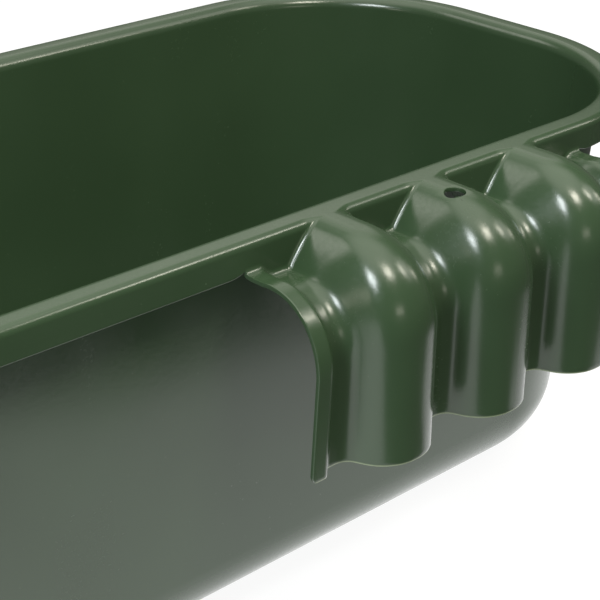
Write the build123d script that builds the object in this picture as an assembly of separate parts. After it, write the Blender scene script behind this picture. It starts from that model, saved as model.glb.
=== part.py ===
from build123d import *
from math import asin, atan2, cos, degrees, radians, sin, tan
import os

# Hook-on feed trough, millimetres.
# The origin is the middle of the flat underside. X runs along the trough, +Z is up,
# and the two hooks hang from the rim on the -Y side.

# Tub and rim
LENGTH = 1200.0            # over the rim, end to end
WIDTH = 404.0              # over the rim, side to side
HEIGHT = 305.0             # underside to rim top
CORNER_RADIUS = 160.0      # outer corner of the rim, seen from above
WALL = 3.0                 # thickness of the moulding everywhere
DRAFT_ANGLE = 4.5          # lean of the tub walls, degrees
BOTTOM_RADIUS = 60.0       # outside rounding between walls and floor
RIM_BAND = 22.5            # width of the flat band, outer edge to inner wall
RIM_INNER_RADIUS = 9.5     # rounding from the band into the tub
RIM_OUTER_RADIUS = 4.0     # rounding of the band's outer edge
RIM_SKIRT = 21.5           # how far the rim's skirt hangs down

# Hooks
HOOK_TO_CORNER = 2.0       # hook's outer edge to where the rim's corner starts
HOOK_DROP = 138.0          # rim top to the hook's lower edge
HOOK_REACH = 82.0          # rim's outer face to the lobes' outer face
LOBE_COUNT = 3
LOBE_PITCH = 90.0
CREST_BEND_RADIUS = 54.0   # turn of a lobe from the plate into the skirt
VALLEY_BEND_RADIUS = 39.0  # turn of the sheet between the lobes

# Lobe section in the plate, beside the rim
PLATE_LOBE_HEIGHT = 27.4
PLATE_CROWN_HALF = 9.9     # middle of the lobe to the corner of its crown
PLATE_VALLEY_HALF = 11.5   # middle of the valley to the foot of the flank
PLATE_CROWN_RADIUS = 15.5
PLATE_FOOT_RADIUS = 6.5

# Lobe section half way round the bend
BEND_CROWN_HALF = 15.8
BEND_VALLEY_HALF = 10.1
BEND_CROWN_RADIUS = 31.8
BEND_FOOT_RADIUS = 13.5

# Lobe section in the hanging skirt
SKIRT_LOBE_HEIGHT = 29.0
SKIRT_CROWN_HALF = 20.8
SKIRT_VALLEY_HALF = 11.2
SKIRT_CROWN_RADIUS = 30.0
SKIRT_FOOT_RADIUS = 11.0
ROUNDING_SHARE = 0.97      # most of a crown or valley that its roundings may take

# Raised strips along the hook's two edges
RIB_GAP = 4.0              # flat sheet between the row of lobes and the step
RIB_HEIGHT = 7.0
RIB_STRIP = 12.0           # flat width of the strip
RIB_RISE = 7.0             # width of the step from the sheet up to the strip
RIB_STEP_RADIUS = 3.0
RIB_CORNER_RADIUS = 4.0    # lower outer corner of the strip

# Fixing hole in the crown of the middle lobe
HOLE_DIAMETER = 14.0
HOLE_TO_RIM = 27.0         # rim's outer face to the hole's middle
HOLE_OFFSET = 4.5          # from the lobe's middle towards the middle of the trough
HOLE_TO_SEAM = 8.0         # clear sheet from the hole's edge to the end of the hook's top

BEND_SECTIONS = 7          # sections that shape the bend
LEAST_TURN = 10.0          # degrees that the hook's top goes round the bend at the least

# Worked out from the above
mouth_length = LENGTH - 2 * RIM_BAND
mouth_width = WIDTH - 2 * RIM_BAND
mouth_radius = CORNER_RADIUS - RIM_BAND
wall_top = HEIGHT - RIM_INNER_RADIUS
rim_face = -WIDTH / 2
axis_x = mouth_length / 2 - mouth_radius    # the corners' axes
axis_y = mouth_width / 2 - mouth_radius
lobes_half = LOBE_PITCH * LOBE_COUNT / 2
hook_half = lobes_half + RIB_GAP + RIB_RISE + RIB_STRIP
hook_middle = axis_x - HOOK_TO_CORNER - hook_half
valley_reach = HOOK_REACH - SKIRT_LOBE_HEIGHT
valley_top = HEIGHT - PLATE_LOBE_HEIGHT
hook_bottom = HEIGHT - HOOK_DROP
top_end = HOLE_TO_RIM + HOLE_DIAMETER / 2 + HOLE_TO_SEAM
top_turn = max(LEAST_TURN, degrees(asin((top_end - HOOK_REACH) / CREST_BEND_RADIUS + 1)))


def wall_section():
    """Section through wall and floor, as (distance out from a corner's axis, height)."""
    lean = tan(radians(DRAFT_ANGLE))
    outside_foot = mouth_radius + WALL - wall_top * lean
    inside_foot = mouth_radius - (wall_top - WALL) * lean
    outside_points = [(mouth_radius + WALL, wall_top), (outside_foot, 0), (0, 0)]
    inside_points = [(mouth_radius, wall_top), (inside_foot, WALL), (0, WALL)]
    outside = FilletPolyline(*outside_points, radius=BOTTOM_RADIUS)
    inside = FilletPolyline(*inside_points, radius=BOTTOM_RADIUS - WALL)
    ends = [Line(outside @ 0, inside @ 0), Line(outside @ 1, inside @ 1)]
    return Plane.XZ * make_face([outside, inside] + ends)


def rim_section():
    """Section of the band with its rounded inner edge and hanging skirt, in the same coordinates."""
    inner = RIM_INNER_RADIUS
    outer = RIM_OUTER_RADIUS
    edge = RIM_BAND
    outline = make_face([
        RadiusArc((0, -inner), (inner, 0), inner),
        Line((inner, 0), (edge - outer, 0)),
        RadiusArc((edge - outer, 0), (edge, -outer), outer),
        Line((edge, -outer), (edge, -RIM_SKIRT)),
        Line((edge, -RIM_SKIRT), (edge - WALL, -RIM_SKIRT)),
        Line((edge - WALL, -RIM_SKIRT), (edge - WALL, -WALL)),
        Line((edge - WALL, -WALL), (inner, -WALL)),
        RadiusArc((inner, -WALL), (WALL, -inner), -(inner - WALL)),
        Line((WALL, -inner), (0, -inner)),
    ])
    return Plane.XZ * Pos(mouth_radius, HEIGHT) * outline


def round_the_mouth(section, ending):
    """Four straight runs and four corners of a section, parted at the corners' axes."""
    side = extrude(section, axis_x, dir=(0, 1, 0), both=True)
    end = extrude(section, axis_y, dir=(0, 1, 0), both=True)
    corner = revolve(section, Axis.Z, 90)
    return {
        f"front_{ending}": Pos(0, -axis_y, 0) * Rot(0, 0, -90) * side,
        f"back_{ending}": Pos(0, axis_y, 0) * Rot(0, 0, 90) * side,
        f"left_end_{ending}": Pos(-axis_x, 0, 0) * Rot(0, 0, 180) * end,
        f"right_end_{ending}": Pos(axis_x, 0, 0) * end,
        f"back_right_{ending}_corner": Pos(axis_x, axis_y, 0) * corner,
        f"back_left_{ending}_corner": Pos(-axis_x, axis_y, 0) * Rot(0, 0, 90) * corner,
        f"front_left_{ending}_corner": Pos(-axis_x, -axis_y, 0) * Rot(0, 0, 180) * corner,
        f"front_right_{ending}_corner": Pos(axis_x, -axis_y, 0) * Rot(0, 0, -90) * corner,
    }


def with_hook_roots(front_rim):
    """The front run of the rim, square-edged and deepened where the hooks start."""
    root_bottom = valley_top - WALL
    root_height = HEIGHT - WALL - root_bottom
    outer = RIM_OUTER_RADIUS
    for middle in (-hook_middle, hook_middle):
        square_edge = Box(2 * hook_half, outer, outer, align=(Align.CENTER, Align.MIN, Align.MAX))
        root = Box(2 * hook_half, WALL, root_height, align=(Align.CENTER, Align.MIN, Align.MIN))
        front_rim += Pos(middle, rim_face, HEIGHT) * square_edge
        front_rim += Pos(middle, rim_face, root_bottom) * root
    return front_rim


def lobe_middle(i):
    """Place of a lobe along the hook, from the hook's middle."""
    return (i + 0.5) * LOBE_PITCH - lobes_half


def lobe_profile(height, crown, valley, crown_radius, foot_radius, depth):
    """Outline of the row of lobes with rounded corners, sunk by depth below the outer face."""
    foot = LOBE_PITCH / 2 - valley
    lean = tan(atan2(height, foot - crown) / 2)
    crown_radius = min(crown_radius, ROUNDING_SHARE * crown / lean)
    foot_radius = min(foot_radius, ROUNDING_SHARE * valley / lean)
    crown_x = crown - depth * lean
    foot_x = foot - depth * lean
    points = [(-lobes_half, -depth)]
    radii = []
    for i in range(LOBE_COUNT):
        middle = lobe_middle(i)
        points += [(middle - foot_x, -depth), (middle - crown_x, height - depth)]
        points += [(middle + crown_x, height - depth), (middle + foot_x, -depth)]
        radii += [foot_radius + depth, crown_radius - depth, crown_radius - depth, foot_radius + depth]
    points.append((lobes_half, -depth))
    return FilletPolyline(*points, radius=radii)


def section_plane(crest, valley):
    """Plane across the lobed sheet through a crest point and a valley point (outwards, height)."""
    origin = Vector(0, rim_face - valley[0], valley[1])
    up = Vector(0, valley[0] - crest[0], crest[1] - valley[1])
    return Plane(origin, x_dir=(1, 0, 0), z_dir=Vector(1, 0, 0).cross(up))


def lobe_section(crest, valley, angle):
    """Closed outline of the lobed sheet between a crest point and a valley point.

    angle is the sheet's turn there: 0 in the plate, 90 in the hanging skirt."""
    turned = angle / 90
    plate_share = (1 - turned) * (1 - 2 * turned)
    bend_share = 4 * turned * (1 - turned)
    skirt_share = turned * (2 * turned - 1)

    def blend(plate, bend, skirt):
        return plate_share * plate + bend_share * bend + skirt_share * skirt

    up = Vector(0, valley[0] - crest[0], crest[1] - valley[1])
    face_normal = Vector(0, -sin(radians(angle)), cos(radians(angle)))
    depth = WALL * up.length / up.dot(face_normal)
    sizes = (
        up.length,
        blend(PLATE_CROWN_HALF, BEND_CROWN_HALF, SKIRT_CROWN_HALF),
        blend(PLATE_VALLEY_HALF, BEND_VALLEY_HALF, SKIRT_VALLEY_HALF),
        blend(PLATE_CROWN_RADIUS, BEND_CROWN_RADIUS, SKIRT_CROWN_RADIUS),
        blend(PLATE_FOOT_RADIUS, BEND_FOOT_RADIUS, SKIRT_FOOT_RADIUS),
    )
    outer = lobe_profile(*sizes, 0)
    inner = lobe_profile(*sizes, depth)
    ends = [Line(outer @ 0, inner @ 0), Line(outer @ 1, inner @ 1)]
    return (section_plane(crest, valley) * make_face([outer, inner] + ends)).face().outer_wire()


def on_bend(angle):
    """Crest point and valley point of the bend, as (outwards, height), at a turn of 0 to 90 degrees."""
    out = 1 - sin(radians(angle))
    down = 1 - cos(radians(angle))
    crest = (HOOK_REACH - CREST_BEND_RADIUS * out, HEIGHT - CREST_BEND_RADIUS * down)
    valley = (valley_reach - VALLEY_BEND_RADIUS * out, valley_top - VALLEY_BEND_RADIUS * down)
    return crest, valley


def lobed_sheet(sign):
    """The plate, bend and skirt of one hook, centred on X = 0; sign is the hook's side of the trough.

    The plate goes on a little way round the bend, so that the fixing hole lies in one piece."""
    bend = []
    for i in range(BEND_SECTIONS):
        angle = 90 * i / (BEND_SECTIONS - 1)
        bend.append(lobe_section(*on_bend(angle), angle))
    start = lobe_section((0, HEIGHT), (0, valley_top), 0)
    end = lobe_section((HOOK_REACH, hook_bottom), (valley_reach, hook_bottom), 90)
    whole_bend = Solid.make_loft(bend)
    seam = section_plane(*on_bend(top_turn))
    turn = split(whole_bend, bisect_by=seam, keep=Keep.TOP)
    plate_end = split(whole_bend, bisect_by=seam, keep=Keep.BOTTOM)
    hole_at = Pos(lobe_middle(LOBE_COUNT // 2) - sign * HOLE_OFFSET, rim_face - HOLE_TO_RIM, HEIGHT)
    hole = hole_at * Cylinder(HOLE_DIAMETER / 2, 4 * WALL)
    top = Solid.make_loft([start, bend[0]], ruled=True) + plate_end - hole
    skirt = Solid.make_loft([bend[-1], end], ruled=True)
    return top, turn, skirt


def edge_rib():
    """The raised strip along the hook's +X edge, centred like the lobed sheet."""
    step_foot = lobes_half + RIB_GAP
    step_top = step_foot + RIB_RISE
    lean = tan(atan2(RIB_HEIGHT, RIB_RISE) / 2)
    curves = []
    for depth in (0, WALL):
        foot_radius = RIB_STEP_RADIUS if depth else RIB_STEP_RADIUS + WALL
        top_radius = RIB_STEP_RADIUS + WALL - depth
        points = [
            (lobes_half, -depth),
            (step_foot + depth * lean, -depth),
            (step_top + depth * lean, RIB_HEIGHT - depth),
            (hook_half, RIB_HEIGHT - depth),
        ]
        curves.append(FilletPolyline(*points, radius=[foot_radius, top_radius]))
    outer, inner = curves
    section = make_face([outer, inner, Line(outer @ 0, inner @ 0), Line(outer @ 1, inner @ 1)])
    bend_out = valley_reach - VALLEY_BEND_RADIUS
    bend_foot = valley_top - VALLEY_BEND_RADIUS
    start = Vector(0, rim_face, valley_top)
    level_end = Vector(0, rim_face - bend_out, valley_top)
    bend_end = Vector(0, rim_face - valley_reach, bend_foot)
    path = Wire([
        Edge.make_line(start, level_end),
        Edge.make_tangent_arc(level_end, Vector(0, -1, 0), bend_end),
        Edge.make_line(bend_end, Vector(0, rim_face - valley_reach, hook_bottom)),
    ])
    plane = Plane(start, x_dir=(1, 0, 0), z_dir=(0, -1, 0))
    rib = sweep(plane * section, path=path)
    lower_corner = rib.edges().filter_by(Axis.Y).group_by(Axis.Z)[0].sort_by(Axis.X)[-1]
    return fillet(lower_corner, RIB_CORNER_RADIUS)


def build():
    """All pieces by name, in place."""
    pieces = {"tub_floor": Pos(0, 0, WALL / 2) * Box(2 * axis_x, 2 * axis_y, WALL)}
    pieces |= round_the_mouth(wall_section(), "wall")
    pieces |= round_the_mouth(rim_section(), "rim")
    pieces["front_rim"] = with_hook_roots(pieces["front_rim"])
    rib = edge_rib()
    for side, sign in (("right", 1), ("left", -1)):
        place = Pos(sign * hook_middle, 0, 0)
        top, turn, skirt = lobed_sheet(sign)
        pieces[f"{side}_hook_top"] = place * top
        pieces[f"{side}_hook_bend"] = place * turn
        pieces[f"{side}_hook_skirt"] = place * skirt
        outer_rib = rib if sign > 0 else mirror(rib, about=Plane.YZ)
        inner_rib = mirror(rib, about=Plane.YZ) if sign > 0 else rib
        pieces[f"{side}_hook_outer_rib"] = place * outer_rib
        pieces[f"{side}_hook_inner_rib"] = place * inner_rib
    return pieces


os.makedirs("parts", exist_ok=True)
for name, piece in build().items():
    piece.label = name
    export_step(piece, f"parts/{name}.step")
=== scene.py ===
from math import acos, atan2, cos, pi, radians, sin, sqrt, tan

import bmesh
import bpy
from mathutils import Euler, Matrix, Vector


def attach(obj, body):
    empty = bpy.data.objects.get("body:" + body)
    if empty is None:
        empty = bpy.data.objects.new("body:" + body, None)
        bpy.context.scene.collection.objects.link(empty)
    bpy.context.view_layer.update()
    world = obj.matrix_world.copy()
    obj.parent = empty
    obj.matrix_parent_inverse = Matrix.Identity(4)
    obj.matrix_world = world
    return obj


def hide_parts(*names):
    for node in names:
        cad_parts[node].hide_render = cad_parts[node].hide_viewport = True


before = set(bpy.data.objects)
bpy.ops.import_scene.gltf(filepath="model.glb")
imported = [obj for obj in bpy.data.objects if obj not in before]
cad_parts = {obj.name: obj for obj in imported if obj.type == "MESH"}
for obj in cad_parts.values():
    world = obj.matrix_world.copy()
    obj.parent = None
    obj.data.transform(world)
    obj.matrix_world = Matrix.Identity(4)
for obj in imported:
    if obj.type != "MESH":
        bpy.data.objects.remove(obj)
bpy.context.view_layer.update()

# The moulding is drawn in millimetres, in the part's own frame, and brought to metres at the end
MM = 0.001

# Tub and rim
LENGTH = 1200.0
WIDTH = 404.0
HEIGHT = 305.0
CORNER_RADIUS = 160.0
WALL = 3.0
DRAFT = radians(4.5)
BOTTOM_RADIUS = 60.0
RIM_BAND = 22.5
RIM_INNER_RADIUS = 9.5
RIM_OUTER_RADIUS = 5.5
RIM_FILLET = 1.0             # rounding inside, between band and skirt
RIM_SKIRT = 21.5
SKIRT_LIP_RADIUS = 0.8       # rounding of the skirt's lower edge
SKIRT_END_RISE = 2.5         # the skirt's lower edge rises to the hook's rib
SKIRT_END_RUN = 12.0
SKIRT_END_STEPS = 6

# Hooks
HOOK_TO_CORNER = 2.0
HOOK_DROP = 138.0
HOOK_REACH = 82.0
LOBE_COUNT = 3
LOBE_PITCH = 90.0
CREST_BEND_RADIUS = 54.0
VALLEY_BEND_RADIUS = 39.0
ROUNDING_SHARE = 0.97        # share of the flat beside a flank that a rounding may take
RIB_GAP = 4.0
RIB_HEIGHT = 7.0
RIB_STRIP = 12.0
RIB_RISE = 7.0
RIB_RADIUS = 6.0
RIB_CORNER_RADIUS = 4.0
RIB_SWELL = 4.5              # the rib stands further out where the bend ends
RIB_SWELL_TURN = 0.6         # share of the bend in which the swell grows
RIB_SWELL_LEFT = 0.2         # share of the swell that is left at the lower edge
HOLE_DIAMETER = 14.0
HOLE_TO_RIM = 27.0
HOLE_OFFSET = 4.5
HOLE_BLOCK = 1.35            # width of the block that is opened for the hole, in diameters
BAND_LAP = 8.0               # the hook's sheet starts this far in from the rim's outer edge
ROOT_RADIUS = 4.0            # rounding between the rim's face and the hook's plate
EDGE_ROUNDING = 0.5          # softened cut edges of the sheet
EDGES_FROM_RIM = 1.0         # they start this far out from the rim

# Half section of a lobe on the plate, in the middle of the bend and on the skirt
PLATE_LOBE = {
    "height": 27.4, "crown": 9.9, "foot": 33.5, "crown_radius": 15.5, "foot_radius": 3.5, "bow": 2.6,
}
BEND_LOBE = {"crown": 15.8, "foot": 34.9, "crown_radius": 31.8, "foot_radius": 13.5, "bow": 0.8}
SKIRT_LOBE = {
    "height": 29.0, "crown": 20.8, "foot": 33.8, "crown_radius": 30.0, "foot_radius": 11.0, "bow": 0.0,
}

# Fineness of the meshes
CORNER_STEPS = 36            # facets round a quarter of the mouth
ROUNDING_STEP = radians(6)
COLUMNS = 260                # grid of a hook's sheet
STEP_ROWS = 44
PLATE_ROWS = 12
BEND_ROWS = 32
SKIRT_ROWS = 24
NEAR = 0.01                  # points closer than this are one
SMOOTH_ANGLE = radians(40)   # faces that meet at less are shaded as one
CUT_ANGLE = radians(60)      # faces that meet at more are a cut edge

# Plastic
DARK_GREEN = (0.0265, 0.0505, 0.0238, 1)
LIGHT_GREEN = (0.0315, 0.0590, 0.0285, 1)
DUST = (0.30, 0.34, 0.28, 1)
PLASTIC_IOR = 1.52
PEEL_STRENGTH = 0.06         # fine unevenness of the skin
PEEL_DEPTH = 0.0006

# Painted highlight: a paler line along the hooks' trimmed lower edge, where its rounding catches the light
EDGE_HIGHLIGHT = (0.24, 0.30, 0.17, 1)
EDGE_HIGHLIGHT_TOP = 1.4               # it fades in from this height above the edge
EDGE_HIGHLIGHT_FULL = 0.6
EDGE_HIGHLIGHT_SHARE = 0.8
EDGE_HIGHLIGHT_FROM_RIM = 2.0          # it is full this far out from the rim

# Floor, in metres
FLOOR_HALF = 12.0
FLOOR_DROP = 0.0005
FLOOR_WHITE = 0.93           # glow in the camera's sight
FLOOR_TONE = 0.12            # grey that takes the shadow in the camera's sight
SHEET_GLOW = 1.56            # glow of the pale sheet to the moulding
GROUND_GLOW = 0.05           # glow of the ground beyond the sheet
GROUND_TONE = 0.02           # grey of sheet and ground to the moulding

# Pale sheet: a direction on the floor, where a change along it starts and ends, and the share it starts from
SHEET_FRONT = ((-0.12, 1, 0), -0.475, -0.395)
SHEET_LEFT = ((-0.5, 1, 0), -0.565, -0.485)
SHEET_RIGHT = ((1, 0, 0), 0.45, 0.53)
SHEET_RIGHT_FRONT = ((0, 1, 0), -0.57, -0.47)
SHEET_END = ((-1, 0, 0), -0.90, -0.60)
SHEET_DIMMING = ((-1, 0, 0), -0.10, 0.08, 0.8)

# Room: azimuth, elevation, cosines of the angles where a light starts and is full, least and full strength
ROOM_COLOUR = (1.0, 0.985, 0.90, 1)
CEILING = (0, 90, 0.66, 0.97, 0.15, 2.3)
BACKDROP = (40, 36, 0.92, 0.985, 0.0, 1.0)
SKYLIGHT = (-36, 40, 0.972, 0.996, 0.0, 3.4)
PANEL = (120, 40, 0.965, 0.995, 0.0, 2.4)

# Lamps: name, azimuth, elevation, distance, width and height, radiance, colour
DAYLIGHT = (0.92, 0.98, 1.0)
WARM = (1.0, 0.95, 0.81)
LAMPS = (
    ("window", -104, 39, 2.2, (0.62, 0.58), 24.0, DAYLIGHT),
    ("lamp_above", -173, 60, 2.2, (0.60, 0.52), 18.0, WARM),
    ("lamp_right", 131, 45, 2.4, (0.35, 0.50), 12.0, WARM),
    ("lamp_far_right", 113, 26, 2.6, (0.25, 0.40), 8.0, WARM),
    ("lamp_low_left", -91, 15, 2.4, (0.28, 0.36), 4.5, WARM),
    ("lamp_low_front", -168, 13, 2.4, (0.80, 0.36), 2.6, WARM),
)
LAMP_TARGET = (0.25, -0.22, 0.29)
LAMP_POWER = 4               # power for each unit of radiance and area

# Camera
CAMERA_PLACE = (-0.48178, -0.87678, 0.70338)
CAMERA_AZIMUTH = 43.8823
CAMERA_DOWN = 25.6562
CAMERA_ROLL = 1.0012
FOCAL_LENGTH = 1686.88       # in pixels of the picture
PICTURE_WIDTH = 600
SENSOR_WIDTH = 36.0

# Worked out from the above
lean = tan(DRAFT)
mouth_radius = CORNER_RADIUS - RIM_BAND
axis_x = LENGTH / 2 - CORNER_RADIUS
axis_y = WIDTH / 2 - CORNER_RADIUS
rim_face = -WIDTH / 2
wall_top = HEIGHT - RIM_INNER_RADIUS
lobes_half = LOBE_PITCH * LOBE_COUNT / 2
hook_half = lobes_half + RIB_GAP + RIB_RISE + RIB_STRIP
hook_middle = axis_x - HOOK_TO_CORNER - hook_half
crest_flat = HOOK_REACH - CREST_BEND_RADIUS
valley_reach = HOOK_REACH - SKIRT_LOBE["height"]
valley_flat = valley_reach - VALLEY_BEND_RADIUS
valley_depth = PLATE_LOBE["height"]


def rounded(corners, radii):
    """Points of a line through corners, each inner corner rounded to its radius, or sharp where that is 0."""
    points = [Vector(corners[0])]
    for before, corner, after, radius in zip(corners, corners[1:], corners[2:], radii):
        corner = Vector(corner)
        if radius == 0:
            points.append(corner)
            continue
        back = (Vector(before) - corner).normalized()
        ahead = (Vector(after) - corner).normalized()
        bend = pi - back.angle(ahead)
        reach = radius * tan(bend / 2)
        centre = corner + (back + ahead).normalized() * (radius / cos(bend / 2))
        arm = corner + back * reach - centre
        steps = max(2, round(bend / ROUNDING_STEP))
        for i in range(steps + 1):
            angle = bend * i / steps
            points.append(centre + arm * cos(angle) - back * radius * sin(angle))
    points.append(Vector(corners[-1]))
    return points


def edges_of(geom):
    """The edges among some geometry."""
    return [g for g in geom if isinstance(g, bmesh.types.BMEdge)]


def without_faces(geom):
    """The vertices and edges among some geometry."""
    return [g for g in geom if not isinstance(g, bmesh.types.BMFace)]


def wire(bm, points, closed=False):
    """Edges through points given in the front wall's section plane, as (outwards, height)."""
    verts = [bm.verts.new((0, -out, height)) for out, height in points]
    ends = verts[1:] + verts[:1] if closed else verts[1:]
    edges = [bm.edges.new(pair) for pair in zip(verts, ends)]
    return verts + edges


def shift(bm, geom, move):
    """Move the vertices among some geometry."""
    verts = [g for g in geom if isinstance(g, bmesh.types.BMVert)]
    bmesh.ops.translate(bm, verts=verts, vec=move)


def run(bm, geom, move):
    """Draw a section out along a straight side and return its far end."""
    far = without_faces(bmesh.ops.extrude_edge_only(bm, edges=edges_of(geom))["geom"])
    shift(bm, far, move)
    return far


def turn(bm, geom, x, y):
    """Spin a section a quarter round a corner's axis and return its far end."""
    result = bmesh.ops.spin(
        bm, geom=geom, cent=(x, y, 0), axis=(0, 0, 1), angle=pi / 2, steps=CORNER_STEPS,
        use_merge=False, use_duplicate=False,
    )
    return without_faces(result["geom_last"])


def round_the_back(bm, geom):
    """Sweep a section from the front side's right end round the right end, back and left end."""
    geom = turn(bm, geom, axis_x, -axis_y)
    geom = run(bm, geom, (0, 2 * axis_y, 0))
    geom = turn(bm, geom, axis_x, axis_y)
    geom = run(bm, geom, (-2 * axis_x, 0, 0))
    geom = turn(bm, geom, -axis_x, axis_y)
    geom = run(bm, geom, (0, -2 * axis_y, 0))
    return turn(bm, geom, -axis_x, -axis_y)


def add_piece(name, bm, nodes):
    """Finish a mesh as a piece that stands for some nodes."""
    bmesh.ops.scale(bm, vec=(MM, MM, MM), verts=bm.verts)
    mesh = bpy.data.meshes.new(name)
    bm.to_mesh(mesh)
    bm.free()
    mesh.shade_smooth()
    mesh.set_sharp_from_angle(angle=SMOOTH_ANGLE)
    mesh.materials.append(plastic)
    piece = bpy.data.objects.new(name, mesh)
    bpy.context.scene.collection.objects.link(piece)
    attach(piece, "root")
    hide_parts(*nodes)


def round_nodes(part):
    """Names of the eight nodes that go round the mouth: four sides and four corners."""
    sides = [f"{side}_{part}" for side in ("front", "back", "left_end", "right_end")]
    return sides + [f"{face}_{end}_{part}_corner" for face in ("front", "back") for end in ("left", "right")]


def make_tub():
    """Walls, corners and floor: one section swept round the mouth, with the floor filled in."""
    outside = [(0, 0), (mouth_radius + WALL - wall_top * lean, 0), (mouth_radius + WALL, wall_top)]
    inside = [(mouth_radius, wall_top), (mouth_radius - (wall_top - WALL) * lean, WALL), (0, WALL)]
    points = rounded(outside, [BOTTOM_RADIUS]) + rounded(inside, [BOTTOM_RADIUS - WALL])
    bm = bmesh.new()
    section = wire(bm, points)
    shift(bm, section, (-axis_x, -axis_y, 0))
    far = run(bm, section, (2 * axis_x, 0, 0))
    round_the_back(bm, far)
    bmesh.ops.remove_doubles(bm, verts=bm.verts, dist=NEAR)
    open_edges = [e for e in bm.edges if e.is_boundary]
    bmesh.ops.holes_fill(bm, edges=open_edges, sides=0)
    bmesh.ops.recalc_face_normals(bm, faces=bm.faces)
    add_piece("tub", bm, ["tub_floor"] + round_nodes("wall"))


def rim_section(with_skirt):
    """Closed outline of the rim, or of its band alone, as (outwards from the corner's axis, height)."""
    brow = RIM_INNER_RADIUS * lean
    under = brow + WALL - WALL * lean
    outer = RIM_BAND if with_skirt else RIM_BAND - BAND_LAP
    top = [(0, -RIM_INNER_RADIUS), (brow, 0)]
    below = [(under, -WALL), (WALL, -RIM_INNER_RADIUS)]
    if with_skirt:
        lip = [(outer, 0), (outer, -RIM_SKIRT), (outer - WALL, -RIM_SKIRT), (outer - WALL, -WALL)]
        radii = [RIM_INNER_RADIUS, RIM_OUTER_RADIUS, SKIRT_LIP_RADIUS, SKIRT_LIP_RADIUS, RIM_FILLET]
    else:
        lip = [(outer, 0), (outer, -WALL)]
        radii = [RIM_INNER_RADIUS, 0, 0]
    radii.append(RIM_INNER_RADIUS - WALL)
    return [(mouth_radius + s, HEIGHT + z) for s, z in rounded(top + lip + below, radii)]


def make_rim():
    """Band and skirt round the mouth. Along a hook only the inner band is drawn, and the hook goes on."""
    bm = bmesh.new()
    outer_end = hook_middle + hook_half
    inner_end = hook_middle - hook_half

    def cap(section):
        """Close an end with a face."""
        bmesh.ops.contextual_create(bm, geom=edges_of(section))

    def start(with_skirt, x):
        """Capped section at x."""
        section = wire(bm, rim_section(with_skirt), closed=True)
        shift(bm, section, (x, -axis_y, 0))
        cap(section)
        return section

    far = run(bm, start(True, outer_end), (axis_x - outer_end, 0, 0))
    far = round_the_back(bm, far)
    cap(run(bm, far, (axis_x - outer_end, 0, 0)))

    far = start(True, -inner_end)
    end_steps = [SKIRT_END_RUN / SKIRT_END_STEPS] * SKIRT_END_STEPS
    for length in end_steps + [2 * (inner_end - SKIRT_END_RUN)] + end_steps:
        far = run(bm, far, (length, 0, 0))
    cap(far)
    for x in (-outer_end, inner_end):
        cap(run(bm, start(False, x), (2 * hook_half, 0, 0)))

    lip_top = HEIGHT - RIM_SKIRT + 2 * SKIRT_LIP_RADIUS
    for vert in bm.verts:
        from_hook = abs(abs(vert.co.x) - hook_middle) - hook_half
        if vert.co.z < lip_top and vert.co.y < -axis_y and 0 <= from_hook + NEAR < SKIRT_END_RUN:
            vert.co.z += SKIRT_END_RISE * (1 - from_hook / SKIRT_END_RUN) ** 2
    bmesh.ops.recalc_face_normals(bm, faces=bm.faces)
    add_piece("rim", bm, round_nodes("rim"))


def between(a, b, share):
    """Value at a share of the way from a to b."""
    return a + (b - a) * share


def ramp(along, run_length, height, foot_radius, top_radius):
    """Height of a slope that rises over run_length, rounded at its foot and top."""
    slope = atan2(height, run_length)
    foot_start = -foot_radius * tan(slope / 2)
    top_end = run_length + top_radius * tan(slope / 2)
    if along <= foot_start:
        return 0.0
    if along >= top_end:
        return height
    if along < foot_start + foot_radius * sin(slope):
        return foot_radius - sqrt(foot_radius ** 2 - (along - foot_start) ** 2)
    if along > top_end - top_radius * sin(slope):
        return height - top_radius + sqrt(top_radius ** 2 - (top_end - along) ** 2)
    return along * tan(slope)


def lobe_size(turned):
    """Sizes of a lobe on the way from plate (0) over the middle of the bend (0.5) to skirt (1)."""
    plate = (1 - turned) * (1 - 2 * turned)
    bend = 4 * turned * (1 - turned)
    skirt = turned * (2 * turned - 1)
    return {k: plate * PLATE_LOBE[k] + bend * BEND_LOBE[k] + skirt * SKIRT_LOBE[k] for k in BEND_LOBE}


def lobe_share(x, turned, height):
    """How far the sheet stands from valley (0) to crest (1) at x; turned goes from plate (0) to skirt (1)."""
    if abs(x) >= lobes_half:
        return 0.0
    size = lobe_size(turned)
    from_middle = abs((x + lobes_half) % LOBE_PITCH - LOBE_PITCH / 2)
    flank = size["foot"] - size["crown"]
    reach = tan(atan2(height, flank) / 2)
    foot_radius = min(size["foot_radius"], ROUNDING_SHARE * (LOBE_PITCH / 2 - size["foot"]) / reach)
    crown_radius = min(size["crown_radius"], ROUNDING_SHARE * size["crown"] / reach)
    share = ramp(size["foot"] - from_middle, flank, height, foot_radius, crown_radius) / height
    return share + size["bow"] / height * sin(pi * share)


def rib_rise(x):
    """Height of the raised strip along the hook's edges."""
    return ramp(abs(x) - lobes_half - RIB_GAP, RIB_RISE, RIB_HEIGHT, RIB_RADIUS, RIB_RADIUS)


def plate_drop(x):
    """How far the plate lies below the rim's top."""
    return valley_depth * (1 - lobe_share(x, 0, valley_depth)) - rib_rise(x)


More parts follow.
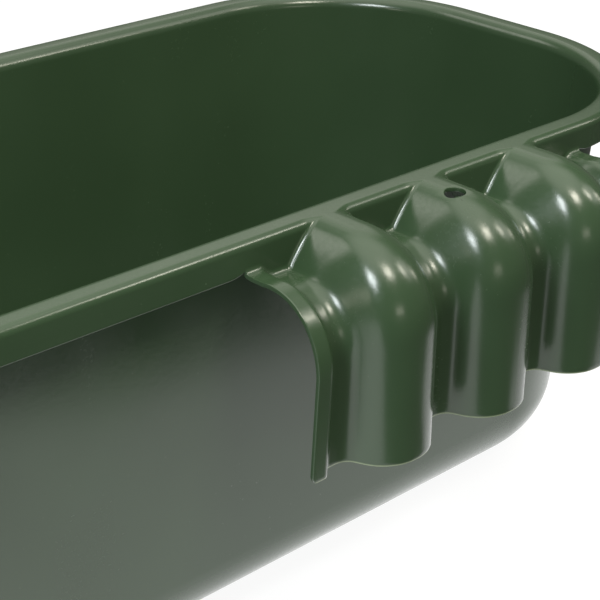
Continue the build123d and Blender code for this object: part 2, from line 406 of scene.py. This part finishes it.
def step_point(drop, share):
    """Point at a share of the way over the rim's edge and down to the plate, as (outwards, height)."""
    radii = RIM_OUTER_RADIUS + ROOT_RADIUS
    angle = acos(1 - drop / radii) if drop < radii else pi / 2
    face = max(0.0, drop - radii)
    lengths = [
        BAND_LAP - RIM_OUTER_RADIUS * sin(angle),
        RIM_OUTER_RADIUS * angle,
        face,
        ROOT_RADIUS * angle,
        ROOT_RADIUS - ROOT_RADIUS * sin(angle),
    ]
    left = share * sum(lengths)
    if left <= lengths[0]:
        return -BAND_LAP + left, 0.0
    left -= lengths[0]
    if left <= lengths[1]:
        over = left / RIM_OUTER_RADIUS
        return RIM_OUTER_RADIUS * (sin(over) - sin(angle)), RIM_OUTER_RADIUS * (cos(over) - 1)
    left -= lengths[1]
    edge_drop = RIM_OUTER_RADIUS * (1 - cos(angle))
    if left <= face:
        return 0.0, -edge_drop - left
    left -= face
    if left <= lengths[3]:
        still = angle - left / ROOT_RADIUS
        return ROOT_RADIUS * (sin(angle) - sin(still)), -drop + ROOT_RADIUS * (1 - cos(still))
    left -= lengths[3]
    return ROOT_RADIUS * sin(angle) + left, -drop


def sheet_point(x, row):
    """Point of a hook's outer face at x and a row of the grid, as (outwards, height from the rim's top)."""
    if row <= STEP_ROWS:
        return step_point(plate_drop(x), row / STEP_ROWS)
    row -= STEP_ROWS
    if row <= PLATE_ROWS:
        flat = between(valley_flat, crest_flat, lobe_share(x, 0, valley_depth))
        return between(ROOT_RADIUS, flat, row / PLATE_ROWS), -plate_drop(x)
    row -= PLATE_ROWS
    angle = pi / 2 * min(1.0, row / BEND_ROWS)
    down = max(0, row - BEND_ROWS) / SKIRT_ROWS
    valley = Vector((valley_flat, -valley_depth)) + VALLEY_BEND_RADIUS * Vector((sin(angle), cos(angle) - 1))
    crest = Vector((crest_flat, 0)) + CREST_BEND_RADIUS * Vector((sin(angle), cos(angle) - 1))
    rise = crest - valley
    point = valley + rise * lobe_share(x, angle / (pi / 2), rise.length)
    swell = RIB_SWELL * sin(min(pi / 2, angle / RIB_SWELL_TURN)) * between(1, RIB_SWELL_LEFT, down)
    point += rib_rise(x) * (1 + swell / RIB_HEIGHT) * Vector((sin(angle), cos(angle)))
    if down > 0:
        bottom = -HOOK_DROP
        into_corner = abs(x) - hook_half + RIB_CORNER_RADIUS
        if into_corner > 0:
            bottom += RIB_CORNER_RADIUS - sqrt(RIB_CORNER_RADIUS ** 2 - into_corner ** 2)
        point.y = between(point.y, bottom, down)
    return point.x, point.y


def cut_hole(bm, x, out):
    """Open the fixing hole: a block of the grid is taken out and its edge bridged to a circle."""
    reach = HOLE_BLOCK * HOLE_DIAMETER / 2
    block = []
    for face in bm.faces:
        middle = face.calc_center_median()
        if abs(middle.x - x) < reach and abs(rim_face - middle.y - out) < reach:
            block.append(face)
    before = {e for e in bm.edges if e.is_boundary}
    bmesh.ops.delete(bm, geom=block, context="FACES")
    border = [e for e in bm.edges if e.is_boundary and e not in before]
    ring = bmesh.ops.create_circle(bm, radius=HOLE_DIAMETER / 2, segments=len(border))["verts"]
    for vert in ring:
        vert.co += Vector((x, rim_face - out, 0))
        past_flat = max(0.0, rim_face - vert.co.y - crest_flat)
        bend_drop = CREST_BEND_RADIUS - sqrt(CREST_BEND_RADIUS ** 2 - past_flat ** 2)
        vert.co.z = HEIGHT - plate_drop(vert.co.x) - bend_drop
    circle = list({e for v in ring for e in v.link_edges})
    bmesh.ops.bridge_loops(bm, edges=border + circle)


def make_hook(name, sign):
    """One hook: a sheet from the rim's band over plate and bend to the lower edge, with ribs and a hole."""
    bm = bmesh.new()
    rows = STEP_ROWS + PLATE_ROWS + BEND_ROWS + SKIRT_ROWS
    bmesh.ops.create_grid(bm, x_segments=COLUMNS, y_segments=rows, size=0.5)
    for vert in bm.verts:
        x = 2 * hook_half * vert.co.x
        out, height = sheet_point(x, round((0.5 - vert.co.y) * rows))
        vert.co = Vector((x, rim_face - out, HEIGHT + height))
    cut_hole(bm, -sign * HOLE_OFFSET, HOLE_TO_RIM)
    bmesh.ops.recalc_face_normals(bm, faces=bm.faces)
    bmesh.ops.solidify(bm, geom=bm.faces[:], thickness=WALL)
    cut_edges = []
    for edge in bm.edges:
        if edge.is_manifold and edge.calc_face_angle() > CUT_ANGLE:
            if max(v.co.y for v in edge.verts) < rim_face - EDGES_FROM_RIM:
                cut_edges.append(edge)
    bmesh.ops.bevel(
        bm, geom=cut_edges, offset=EDGE_ROUNDING, offset_type="OFFSET", segments=2, profile=0.5,
        affect="EDGES", material=-1,
    )
    bmesh.ops.recalc_face_normals(bm, faces=bm.faces)
    bmesh.ops.translate(bm, verts=bm.verts, vec=(sign * hook_middle, 0, 0))
    parts = ("top", "bend", "skirt", "inner_rib", "outer_rib")
    add_piece(name, bm, [f"{name}_{part}" for part in parts])


def scaled(tree, value, low, high, to_low=0.0, to_high=1.0, change="LINEAR"):
    """Bring a value from the range low to high into another range."""
    node = tree.nodes.new("ShaderNodeMapRange")
    node.interpolation_type = change
    for name, number in zip(("From Min", "From Max", "To Min", "To Max"), (low, high, to_low, to_high)):
        node.inputs[name].default_value = number
    tree.links.new(value, node.inputs["Value"])
    return node.outputs["Result"]


def fade(tree, place, way, low, high, to_low=0.0, to_high=1.0):
    """Soft change with the distance of a place along a direction."""
    along = tree.nodes.new("ShaderNodeVectorMath")
    along.operation = "DOT_PRODUCT"
    along.inputs[1].default_value = way
    tree.links.new(place, along.inputs[0])
    return scaled(tree, along.outputs["Value"], low, high, to_low, to_high, "SMOOTHSTEP")


def join(tree, operation, first, second):
    """Result of an operation on two values."""
    node = tree.nodes.new("ShaderNodeMath")
    node.operation = operation
    tree.links.new(first, node.inputs[0])
    tree.links.new(second, node.inputs[1])
    return node.outputs[0]


def plastic_material():
    """Dark green semi-gloss plastic: cloudy colour, dust, a painted highlight along the hooks' lower edge,
    uneven gloss, fine grain.
    """
    material = bpy.data.materials.new("green_plastic")
    material.use_nodes = True
    tree = material.node_tree
    nodes = tree.nodes
    links = tree.links
    shader = nodes["Principled BSDF"]
    shader.inputs["IOR"].default_value = PLASTIC_IOR
    place = nodes.new("ShaderNodeTexCoord").outputs["Object"]

    def noise(scale, detail, stretch=(1, 1, 1)):
        """Cloudy pattern, as fine as its scale."""
        mapping = nodes.new("ShaderNodeMapping")
        mapping.inputs["Scale"].default_value = stretch
        texture = nodes.new("ShaderNodeTexNoise")
        texture.inputs["Scale"].default_value = scale
        texture.inputs["Detail"].default_value = detail
        links.new(place, mapping.inputs["Vector"])
        links.new(mapping.outputs["Vector"], texture.inputs["Vector"])
        return texture.outputs["Fac"]

    def mix(share, first, second):
        """Colour at a share of the way between two colours."""
        node = nodes.new("ShaderNodeMix")
        node.data_type = "RGBA"
        links.new(share, node.inputs[0])
        for socket, colour in ((node.inputs[6], first), (node.inputs[7], second)):
            if isinstance(colour, tuple):
                socket.default_value = colour
            else:
                links.new(colour, socket)
        return node.outputs[2]

    clouds = scaled(tree, noise(scale=5.0, detail=3.0), low=0.35, high=0.65)
    green = mix(clouds, DARK_GREEN, LIGHT_GREEN)
    specks = scaled(tree, noise(scale=900.0, detail=1.0), low=0.80, high=0.84, to_high=0.45)
    green = mix(specks, green, DUST)
    axes = nodes.new("ShaderNodeSeparateXYZ")
    links.new(place, axes.inputs[0])
    # Painted highlight: a paler line along the hooks' lower edge, fading in upwards and only on the hooks
    hem = HEIGHT - HOOK_DROP
    edge_highlight = scaled(tree, axes.outputs["Z"], (hem + EDGE_HIGHLIGHT_TOP) * MM, (hem + EDGE_HIGHLIGHT_FULL) * MM, to_high=EDGE_HIGHLIGHT_SHARE)
    on_hook = scaled(tree, axes.outputs["Y"], rim_face * MM, (rim_face - EDGE_HIGHLIGHT_FROM_RIM) * MM)
    green = mix(join(tree, "MULTIPLY", edge_highlight, on_hook), green, EDGE_HIGHLIGHT)
    links.new(green, shader.inputs["Base Color"])

    smears = noise(scale=18.0, detail=4.0, stretch=(1, 1, 0.35))
    smears = scaled(tree, smears, low=0.3, high=0.7, to_high=0.07)
    grain = scaled(tree, noise(scale=420.0, detail=2.0), low=0.3, high=0.7, to_low=0.16, to_high=0.22)
    links.new(join(tree, "ADD", smears, grain), shader.inputs["Roughness"])

    peel = nodes.new("ShaderNodeBump")
    peel.inputs["Strength"].default_value = PEEL_STRENGTH
    peel.inputs["Distance"].default_value = PEEL_DEPTH
    links.new(noise(scale=260.0, detail=2.0), peel.inputs["Height"])
    links.new(peel.outputs["Normal"], shader.inputs["Normal"])
    return material


def floor_material():
    """Even white to the camera. To the moulding, a pale sheet near it that ends softly on dark ground."""
    material = bpy.data.materials.new("floor")
    material.use_nodes = True
    tree = material.node_tree
    nodes = tree.nodes
    links = tree.links
    nodes.clear()
    place = nodes.new("ShaderNodeTexCoord").outputs["Object"]
    seen = nodes.new("ShaderNodeLightPath").outputs["Is Camera Ray"]

    right = join(tree, "MULTIPLY", fade(tree, place, *SHEET_RIGHT), fade(tree, place, *SHEET_RIGHT_FRONT))
    sheet = join(tree, "MAXIMUM", fade(tree, place, *SHEET_FRONT), fade(tree, place, *SHEET_LEFT))
    sheet = join(tree, "MAXIMUM", sheet, right)
    for change in (SHEET_END, SHEET_DIMMING):
        sheet = join(tree, "MULTIPLY", sheet, fade(tree, place, *change))
    level = nodes.new("ShaderNodeMix")
    level.inputs[3].default_value = FLOOR_WHITE
    links.new(seen, level.inputs[0])
    links.new(scaled(tree, sheet, 0.0, 1.0, GROUND_GLOW, SHEET_GLOW), level.inputs[2])
    tone = nodes.new("ShaderNodeMix")
    tone.inputs[2].default_value = GROUND_TONE
    tone.inputs[3].default_value = FLOOR_TONE
    links.new(seen, tone.inputs[0])

    emission = nodes.new("ShaderNodeEmission")
    diffuse = nodes.new("ShaderNodeBsdfDiffuse")
    both = nodes.new("ShaderNodeAddShader")
    output = nodes.new("ShaderNodeOutputMaterial")
    links.new(level.outputs[0], emission.inputs["Strength"])
    links.new(tone.outputs[0], diffuse.inputs["Color"])
    links.new(emission.outputs[0], both.inputs[0])
    links.new(diffuse.outputs[0], both.inputs[1])
    links.new(both.outputs[0], output.inputs[0])
    return material


def make_floor():
    """Plain pale floor just under the moulding."""
    bm = bmesh.new()
    bmesh.ops.create_grid(bm, x_segments=1, y_segments=1, size=FLOOR_HALF)
    bmesh.ops.translate(bm, vec=(0, 0, -FLOOR_DROP), verts=bm.verts)
    mesh = bpy.data.meshes.new("floor")
    bm.to_mesh(mesh)
    bm.free()
    mesh.materials.append(floor_material())
    floor = bpy.data.objects.new("floor", mesh)
    bpy.context.scene.collection.objects.link(floor)


def direction(azimuth, elevation):
    """Unit vector of an azimuth from +Y towards +X and an elevation, in degrees."""
    level = cos(radians(elevation))
    return Vector((sin(radians(azimuth)) * level, cos(radians(azimuth)) * level, sin(radians(elevation))))


def add_lamp(name, azimuth, elevation, distance, size, radiance, colour):
    """Soft panel aimed at the hook from a direction."""
    way = direction(azimuth, elevation)
    data = bpy.data.lights.new(name, "AREA")
    data.shape = "RECTANGLE"
    data.size, data.size_y = size
    data.energy = LAMP_POWER * radiance * size[0] * size[1]
    data.color = colour
    lamp = bpy.data.objects.new(name, data)
    lamp.location = Vector(LAMP_TARGET) + way * distance
    lamp.rotation_euler = (-way).to_track_quat("-Z", "Y").to_euler()
    lamp.visible_camera = False
    bpy.context.scene.collection.objects.link(lamp)


def make_lights():
    """Plain studio light: a pale ceiling and backdrop, a soft skylight and panel, a window and warm lamps."""
    world = bpy.data.worlds.new("studio")
    bpy.context.scene.world = world
    world.use_nodes = True
    tree = world.node_tree
    way = tree.nodes.new("ShaderNodeTexCoord").outputs["Generated"]

    def glow(azimuth, elevation, *change):
        """Strength that changes softly with the angle from a direction."""
        return fade(tree, way, direction(azimuth, elevation), *change)

    above = join(tree, "ADD", glow(*CEILING), glow(*BACKDROP))
    beside = join(tree, "ADD", glow(*SKYLIGHT), glow(*PANEL))
    background = tree.nodes["Background"]
    background.inputs["Color"].default_value = ROOM_COLOUR
    tree.links.new(join(tree, "ADD", above, beside), background.inputs["Strength"])
    for settings in LAMPS:
        add_lamp(*settings)


def make_camera():
    """Camera at the photograph's viewing angle."""
    data = bpy.data.cameras.new("camera")
    data.sensor_width = SENSOR_WIDTH
    data.lens = FOCAL_LENGTH / PICTURE_WIDTH * SENSOR_WIDTH
    camera = bpy.data.objects.new("camera", data)
    camera.location = CAMERA_PLACE
    level = Euler((radians(90 - CAMERA_DOWN), 0, radians(-CAMERA_AZIMUTH))).to_matrix()
    camera.rotation_euler = (level @ Matrix.Rotation(radians(CAMERA_ROLL), 3, "Z")).to_euler()
    bpy.context.scene.collection.objects.link(camera)
    bpy.context.scene.camera = camera


plastic = plastic_material()
make_tub()
make_rim()
make_hook("right_hook", 1)
make_hook("left_hook", -1)
make_floor()
make_lights()
make_camera()
bpy.context.scene.view_settings.view_transform = "Standard"


def corners(box):
    return [list(box[0]), list(box[1])]
